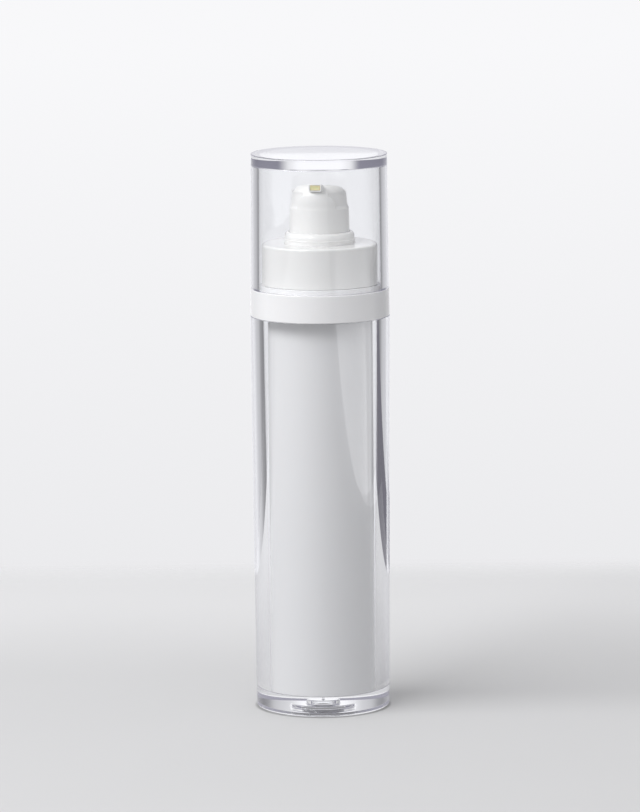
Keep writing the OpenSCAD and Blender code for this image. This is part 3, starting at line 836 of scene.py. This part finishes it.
class BOTTLE_OT_push_head(bpy.types.Operator):
    """Model the push head: a drafted skirt, a slanted dished finger pad and an arched spout"""

    bl_idname = "bottle.push_head"
    bl_label = "Push head"

    def execute(self, context):
        size = settings()[0]
        ledge_r, ledge_rnd = HEAD_R - 0.13 * MM, 0.3 * MM
        head_r = ledge_r - size.ledge_w
        top_r = head_r - size.head_draft
        rnd, rim = size.head_round, 0.1 * MM
        inner_r, hollow_r = HEAD_R - 0.9 * MM, top_r - 1.0 * MM
        hollow_z = size.ledge_z - 1 * MM
        stem_r, stem_z = STEM_TOP_R + HAIR, STEM_TOP + 0.1 * MM
        socket_r, socket_z = STEM_TOP_R + 1.23 * MM, STEM_TOP - 5.1 * MM
        seat_r, seat_top = socket_r + 1.67 * MM, socket_z + 0.9 * MM
        top = HEAD_TOP + size.head_rise
        roof = top - 2.9 * MM
        foot = size.ledge_z + size.ledge_w
        side = [
            (head_r + (top_r - head_r) * k / 24, foot + (top - rnd - foot) * k / 24)
            for k in range(25)
        ]
        pad = []
        for k in range(1, 13):
            radius = (top_r - rnd) * (1 - k / 12)
            sink = size.pad_dish * (1 - (radius / (top_r - rnd)) ** 2)
            pad.append((radius, top - sink))
        outline = (
            [(inner_r, SKIRT_Z), (HEAD_R - rim, SKIRT_Z), (HEAD_R, SKIRT_Z + rim), (HEAD_R, COLLAR_TOP)]
            + arc((ledge_r - ledge_rnd, size.ledge_z - size.ledge_w - rim), ledge_rnd, ledge_rnd, 0, 45, 4)
            + side
            + arc((top_r - rnd, top - rnd), rnd, rnd, 0, 90, 14)[1:]
            + pad
            + [
                (0.0, stem_z), (stem_r, stem_z), (stem_r, socket_z), (seat_r, socket_z),
                (seat_r, seat_top), (socket_r, seat_top + 1.67 * MM), (socket_r, roof),
                (hollow_r, roof), (hollow_r, hollow_z), (inner_r, hollow_z),
            ]
        )
        obj = lathe("white_push_head", outline, steps=240, edge=40.0)
        bpy.ops.object.mode_set(mode="EDIT")
        hinge = Vector((0.0, -head_r, top - rnd))
        select_where(obj, lambda p: p.z > top - rnd - FIT)
        bpy.ops.transform.rotate(
            value=size.pad_slope, orient_axis="X", orient_type="GLOBAL",
            orient_matrix=Matrix.Identity(3), center_override=hinge,
        )
        bpy.ops.object.mode_set(mode="OBJECT")
        combined(obj, "UNION", self.spout(ledge_r))
        combined(obj, "UNION", self.nozzle())
        bpy.ops.object.shade_smooth_by_angle(angle=radians(40))
        finished(obj, white_pp("head_white_pp"), "head", "white_pp", "actuator")
        finished(self.insert(), yellow_elastomer(), "head", "yellow_elastomer", "nozzle_insert")
        return {"FINISHED"}

    def spout(self, ledge_r):
        """The front that flares from the nozzle down into the ledge."""
        size = settings()[0]
        half, neck, deep = size.spout_w / 2, size.spout_neck / 2, 3 * MM
        foot, high = size.ledge_z, size.ledge_z + size.spout_h
        sunk = foot - 0.6 * MM
        right = (
            [(half, sunk)]
            + [(x, foot + z) for x, z in arc((neck, 0.0), half - neck, size.spout_flare, 0, 90, 12)]
            + arc((neck - MM, high - MM), MM, MM, 0, 90, 8)
        )
        arch = prism("spout", right + [(-x, z) for x, z in reversed(right)], -HEAD_R - MM, -4 * MM)
        rounded = lathe("spout_front", [
            (deep, sunk), (ledge_r - 0.02 * MM, sunk), (ledge_r, foot + MM),
            *arc((ledge_r - MM, foot + MM), MM, size.spout_h - MM, 0, 84, 16),
            (deep, high),
        ], steps=240)
        combined(arch, "INTERSECT", rounded)
        changed(
            arch, "BEVEL", width=0.12 * MM, segments=3,
            limit_method="ANGLE", angle_limit=radians(40),
        )
        return arch

    def mouth(self):
        """Place of the nozzle's front along Y, height of its top, and the pocket's floor and roof."""
        size = settings()[0]
        top = HEAD_TOP + size.head_rise - FIT
        middle = top - size.nozzle_h / 2
        return -HEAD_R - size.nozzle_out, top, middle - size.pocket_low, middle + size.pocket_high

    def nozzle(self):
        """The block round the insert, with its top flush with the finger pad."""
        size = settings()[0]
        front, top, floor, roof = self.mouth()
        back, wide, reach = -HEAD_R + 3 * MM, size.nozzle_w / 2, 0.5 * MM
        rim = block("nozzle", (-wide, front, top - size.nozzle_h), (wide, back, top), 0.16 * MM)
        pocket = block(
            "pocket", (-INSERT_HALF_W, front - MM, floor),
            (INSERT_HALF_W, front + 2.2 * MM, roof), 0.18 * MM,
        )
        combined(rim, "DIFFERENCE", pocket)
        alone(rim)
        bpy.ops.object.mode_set(mode="EDIT")
        select_where(rim, lambda p: p.z > top - reach and p.y > back - reach)
        bpy.ops.transform.translate(value=(0, 0, -(back - front) * tan(size.pad_slope)))
        bpy.ops.object.mode_set(mode="OBJECT")
        return rim

    def insert(self):
        """The soft insert, its face dished round a very fine slit."""
        front, _, floor, roof = self.mouth()
        front += 0.12 * MM
        gap = 0.02 * MM
        obj = block(
            "nozzle_insert_soft", (-INSERT_HALF_W + gap, front, floor + gap),
            (INSERT_HALF_W - gap, front + 1.9 * MM, roof - gap), 0.16 * MM,
        )
        bpy.ops.object.mode_set(mode="EDIT")
        select_where(obj, lambda p: p.y < front + gap, "FACE")
        bpy.ops.mesh.inset(thickness=0.2 * MM)
        bpy.ops.mesh.inset(thickness=0.06 * MM, depth=-0.06 * MM)
        bpy.ops.mesh.inset(thickness=0.2 * MM)
        bpy.ops.transform.resize(value=(1, 1, 0.1))
        bpy.ops.mesh.inset(thickness=0.004 * MM, depth=-0.3 * MM)
        bpy.ops.object.mode_set(mode="OBJECT")
        bpy.ops.object.shade_smooth_by_angle(angle=radians(35))
        return obj


class BOTTLE_OT_inner_works(bpy.types.Operator):
    """Finish the CAD pieces that stay: the pump's works, the end plate and the follower"""

    bl_idname = "bottle.inner_works"
    bl_label = "Pump works"

    def execute(self, context):
        finishes = {
            white_pp: ("inner_end_plate", "stem", "valve_rod"),
            natural_pp: ("pump_housing", "stem_guide", "ball_cage"),
            white_pe: ("follower_piston", "piston_seal"),
            foam_gasket: ("neck_gasket",),
        }
        for make, names in finishes.items():
            material = make()
            for name in names:
                self.finish(name, material)
        self.wound_spring()
        self.finish("inlet_ball", drawn_steel("steel_ball", 0.08))
        return {"FINISHED"}

    def wound_spring(self):
        """The return spring, which stands on the guide."""
        size = settings()[0]
        wire_r = size.spring_wire / 2
        height = SPRING_TOP - SPRING_Z
        steps = round(32 * size.spring_turns)
        bare_selection()
        bpy.ops.mesh.primitive_circle_add(vertices=10, radius=wire_r, fill_type="NOTHING")
        obj = bpy.context.object
        obj.name = obj.data.name = "pump_spring_wound"
        opened()
        bpy.ops.transform.rotate(value=radians(90), orient_axis="X")
        bpy.ops.transform.translate(value=(SPRING_R - wire_r, 0, SPRING_Z + wire_r))
        bpy.ops.object.mode_set(mode="OBJECT")
        changed(
            obj, "SCREW", axis="Z", angle=-2 * pi * size.spring_turns, iterations=1,
            screw_offset=height - 2 * wire_r, steps=steps, render_steps=steps,
        )
        opened()
        bpy.ops.mesh.fill_holes(sides=0)
        closed(50)
        finished(obj, drawn_steel("steel_wire", 0.32), "bottle", "steel_wire", "pump_spring")
        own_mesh(obj)

    def finish(self, name, material):
        """Puts one material on a CAD node."""
        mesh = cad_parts[name].data
        mesh.materials.clear()
        mesh.materials.append(material)


def toward(bearing, rise):
    """A direction of length one, by its turn from the nozzle towards +X and its height."""
    return Vector((sin(bearing) * cos(rise), -cos(bearing) * cos(rise), sin(rise)))


class BOTTLE_OT_studio(bpy.types.Operator):
    """Lay the table, set the soft light and the camera"""

    bl_idname = "bottle.studio"
    bl_label = "Studio"

    def execute(self, context):
        self.table()
        self.sky()
        self.key_lamp()
        self.camera()
        context.scene.view_settings.view_transform = "Standard"
        return {"FINISHED"}

    def table(self):
        """The pale table. Camera rays see its back edge fade; beyond it reflections find a dark floor,
        painted shade for the shaded gap behind the table.
        """
        studio = settings()[2]
        bare_selection()
        wide = (studio.floor_right + studio.table_left) / 2
        deep = (studio.floor_back + studio.table_front) / 2
        bpy.ops.mesh.primitive_plane_add(size=2.0)
        top = bpy.context.object
        top.name = top.data.name = "table"
        opened()
        bpy.ops.transform.resize(value=(wide, deep, 1))
        bpy.ops.transform.translate(value=(studio.floor_right - wide, studio.floor_back - deep, -FIT))
        bpy.ops.transform.rotate(
            value=-studio.turn, orient_axis="Z", orient_type="GLOBAL",
            orient_matrix=Matrix.Identity(3), center_override=(0, 0, 0),
        )
        bpy.ops.object.mode_set(mode="OBJECT")
        material, tree, shader, output = node_material("table_top")
        apart = self.turned_axes(tree, "Object")
        self.table_tone(tree, shader, apart)
        x, y = apart.outputs["X"], apart.outputs["Y"]
        seen = reflected(tree)
        soft = stepped(tree, y, studio.table_back + EDGE_FADE[0], studio.table_back + EDGE_FADE[1])
        sharp = stepped(tree, y, studio.mirror_back, studio.mirror_back + MIRRORED_EDGE)
        edge = blended(tree, seen, soft, sharp)
        beside = arithmetic(tree, "GREATER_THAN", x, product(tree, y, tan(studio.gap_from)))
        far = arithmetic(tree, "SUBTRACT", y, product(tree, x, studio.dark_skew))
        darkened = product(tree, beside, arithmetic(tree, "LESS_THAN", far, studio.dark_back))
        # Painted shade: a dark emission where reflections find the shaded gap behind the table.
        dark = node_of(tree, "ShaderNodeEmission", Color=PAINTED_GAP_SHADE)
        gone = node_of(tree, "ShaderNodeBsdfTransparent")
        beyond = mixed(tree, product(tree, seen, darkened), gone, dark)
        right = arithmetic(tree, "GREATER_THAN", x, studio.table_right)
        before = arithmetic(tree, "LESS_THAN", y, studio.mirror_back)
        whole = mixed(tree, product(tree, right, before), mixed(tree, edge, shader, beyond), gone)
        tree.links.new(whole.outputs[0], output.inputs["Surface"])
        top.data.materials.append(material)

    def table_tone(self, tree, shader, apart):
        """The table's speckled tone, with painted shade by the bottle, a painted contact shadow under the
        foot, and a painted glow standing in for the light that the clear foot drops.
        """
        studio = settings()[2]
        speckle = object_noise(tree, scale=14.0)
        darker = tuple(c * 0.985 for c in studio.table)
        tone = ramp_between(tree, speckle.outputs["Fac"], darker, tuple(studio.table))
        shader.inputs["Roughness"].default_value = 0.75
        middle = tree.nodes.new("ShaderNodeVectorMath")
        middle.operation = "LENGTH"
        tree.links.new(apart.inputs["Vector"].links[0].from_socket, middle.inputs[0])
        # Painted shade: the table's colour is darker by the bottle than at its back.
        painted_shade_near = product(tree, stepped(tree, apart.outputs["Y"], *SHADED), studio.table_shade)
        # Painted contact shadow: the table's colour is darker right under the clear foot.
        painted_contact_shadow = product(tree, stepped(tree, middle.outputs["Value"], *CONTACT), studio.contact_shade)
        path = tree.nodes.new("ShaderNodeLightPath")
        diffuse = path.outputs["Is Diffuse Ray"]
        loss = product(tree, diffuse, 1 - studio.table_bounce)
        kept = 1.0
        for share_lost in (painted_shade_near, painted_contact_shadow, loss):
            kept = product(tree, arithmetic(tree, "SUBTRACT", 1.0, share_lost), kept)
        tree.links.new(scaled(tree, tone, kept), shader.inputs["Base Color"])
        # Painted glow: the table under the clear foot emits light for rays seen through the plastic and for
        # soft light.
        under = stepped(tree, middle.outputs["Value"], *UNDER_FOOT)
        indirect = arithmetic(tree, "MAXIMUM", path.outputs["Is Transmission Ray"], diffuse)
        glow = product(tree, product(tree, indirect, under), studio.foot_glow)
        shader.inputs["Emission Color"].default_value = FOOT_GLOW
        tree.links.new(glow, shader.inputs["Emission Strength"])

    def turned_axes(self, tree, output):
        """The chosen coordinates, turned so that Y runs straight away from the camera."""
        studio = settings()[2]
        place = tree.nodes.new("ShaderNodeTexCoord")
        turn = tree.nodes.new("ShaderNodeVectorRotate")
        turn.rotation_type = "Z_AXIS"
        turn.inputs["Angle"].default_value = -studio.turn
        apart = tree.nodes.new("ShaderNodeSeparateXYZ")
        tree.links.new(place.outputs[output], turn.inputs["Vector"])
        tree.links.new(turn.outputs["Vector"], apart.inputs["Vector"])
        return apart

    def sky(self):
        """Plain backdrop for the eye and clear plastic, soft fill light, and a studio for reflections."""
        studio = settings()[2]
        world = bpy.data.worlds.new("studio_light")
        bpy.context.scene.world = world
        world.use_nodes = True
        world.cycles.sampling_method = "NONE"
        tree = world.node_tree
        tree.nodes.clear()
        output = tree.nodes.new("ShaderNodeOutputWorld")
        apart = self.turned_axes(tree, "Generated")
        rise = risen(tree, apart.outputs["Z"], BACKDROP_RISE, "LINEAR")
        plain = blended(tree, rise, (*studio.backdrop, 1.0), (*studio.backdrop_top, 1.0))
        path = tree.nodes.new("ShaderNodeLightPath")
        seen = blended(tree, reflected(tree), plain, self.mirrored_room(tree, apart))
        all_round = blended(tree, path.outputs["Is Diffuse Ray"], seen, self.fill_light(tree, apart))
        light = tree.nodes.new("ShaderNodeBackground")
        tree.links.new(all_round, light.inputs["Color"])
        tree.links.new(light.outputs[0], output.inputs["Surface"])

    def fill_light(self, tree, apart):
        """Light on soft surfaces: the room, a card on the right and what lies beyond the table."""
        studio = settings()[2]
        x, z = apart.outputs["X"], apart.outputs["Z"]
        height = stepped(tree, z, 0.0, 1.0, "LINEAR")
        room = blended(tree, height, (*studio.fill_low, 1.0), (*studio.fill_high, 1.0))
        card = product(tree, stepped(tree, x, *SIDE_CARD_FROM), stepped(tree, z, *SIDE_CARD_TOP))
        lit = blended(tree, card, room, (*studio.fill_side, 1.0))
        return blended(tree, stepped(tree, z, *FILL_LEVEL), (*studio.fill_under, 1.0), lit)

    def mirrored_room(self, tree, apart):
        """What mirrored rays find: walls by bearing, a low card, a pale ceiling and a dark horizon."""
        x, y, z = (apart.outputs[axis] for axis in "XYZ")
        bearing = arithmetic(tree, "ARCTAN2", x, y)
        around = tree.nodes.new("ShaderNodeValToRGB")
        stops = around.color_ramp.elements
        stops[0].position, stops[1].position = 0.0, 1.0
        for degrees, _ in WALLS[1:-1]:
            stops.new((degrees + 180) / 360)
        for stop, (_, light) in zip(stops, WALLS):
            stop.color = (light * 0.99, light * 0.99, light * 1.02, 1.0)
        tree.links.new(stepped(tree, bearing, -pi, pi, "LINEAR"), around.inputs["Fac"])
        card = risen(tree, z, LOW_CARD_TOP)
        for start, end in (LOW_CARD_FROM, LOW_CARD_TO):
            card = product(tree, card, stepped(tree, bearing, radians(start), radians(end)))
        walled = blended(tree, card, around.outputs["Color"], LOW_CARD)
        lean = stepped(tree, x, 1.0, -1.0, "LINEAR")
        ceiling = blended(tree, lean, CEILING_RIGHT, CEILING_LEFT)
        room = blended(tree, risen(tree, z, CEILING_RISE), walled, ceiling)
        sides = stepped(tree, arithmetic(tree, "ABSOLUTE", x), *HORIZON_SIDES)
        tall = product(tree, sides, risen(tree, z, HORIZON_SIDE_TOP))
        band = arithmetic(tree, "MAXIMUM", risen(tree, z, HORIZON_TOP), tall)
        return blended(tree, product(tree, risen(tree, z, HORIZON_FOOT), band), room, HORIZON)

    def key_lamp(self):
        """The soft lamp at the upper left."""
        studio = settings()[2]
        bare_selection()
        target = Vector((0, 0, studio.key_aim))
        place = target + studio.key_reach * toward(studio.turn + studio.key_turn, studio.key_rise)
        bpy.ops.object.light_add(type="AREA", location=place)
        lamp = bpy.context.object
        lamp.name = "key_lamp"
        lamp.data.shape = "RECTANGLE"
        lamp.data.size, lamp.data.size_y = studio.key_width, studio.key_height
        lamp.data.energy = studio.key_power
        lamp.rotation_euler = (target - place).to_track_quat("-Z", "Y").to_euler()
        lamp.visible_camera = False

    def camera(self):
        """The camera at the photograph's angle."""
        studio = settings()[2]
        aim = Vector((-studio.aside * cos(studio.turn), -studio.aside * sin(studio.turn), studio.aim))
        away = toward(studio.turn, studio.pitch)
        place = aim + studio.distance * away
        bpy.ops.object.camera_add(location=place)
        camera = bpy.context.object
        look = (-away).to_track_quat("-Z", "Y").to_matrix()
        camera.rotation_euler = (look @ Matrix.Rotation(studio.roll, 3, "Z")).to_euler()
        camera.data.lens = studio.lens
        camera.data.sensor_width = 36.0
        camera.data.clip_start = 0.05
        bpy.context.scene.camera = camera


class BOTTLE_PT_panel(bpy.types.Panel):
    """The pieces and settings in the sidebar"""

    bl_idname = "BOTTLE_PT_panel"
    bl_label = "Airless pump bottle"
    bl_space_type = "VIEW_3D"
    bl_region_type = "UI"
    bl_category = "Bottle"

    def draw(self, context):
        for operator in OPERATORS:
            self.layout.operator(operator.bl_idname)
        for group in settings():
            box = self.layout.box()
            for name in group.bl_rna.properties.keys():
                if name not in {"rna_type", "name"}:
                    box.prop(group, name)


OPERATORS = (
    BOTTLE_OT_clear_bottle, BOTTLE_OT_inner_bottle, BOTTLE_OT_shoulder_ring, BOTTLE_OT_closure,
    BOTTLE_OT_push_head, BOTTLE_OT_overcap, BOTTLE_OT_inner_works, BOTTLE_OT_studio,
)
GROUPS = {"bottle_sizes": BottleSizes, "bottle_look": BottleLook, "bottle_studio": StudioSettings}


def register():
    for group in GROUPS.values():
        bpy.utils.register_class(group)
    for name, group in GROUPS.items():
        setattr(bpy.types.Scene, name, bpy.props.PointerProperty(type=group))
    for operator in OPERATORS:
        bpy.utils.register_class(operator)
    bpy.utils.register_class(BOTTLE_PT_panel)


def unregister():
    bpy.utils.unregister_class(BOTTLE_PT_panel)
    for operator in reversed(OPERATORS):
        bpy.utils.unregister_class(operator)
    for name in GROUPS:
        delattr(bpy.types.Scene, name)
    for group in reversed(GROUPS.values()):
        bpy.utils.unregister_class(group)


def main():
    """Makes every piece and the studio."""
    register()
    for operator in OPERATORS:
        group, name = operator.bl_idname.split(".")
        getattr(getattr(bpy.ops, group), name)()


if __name__ == "__main__":
    main()
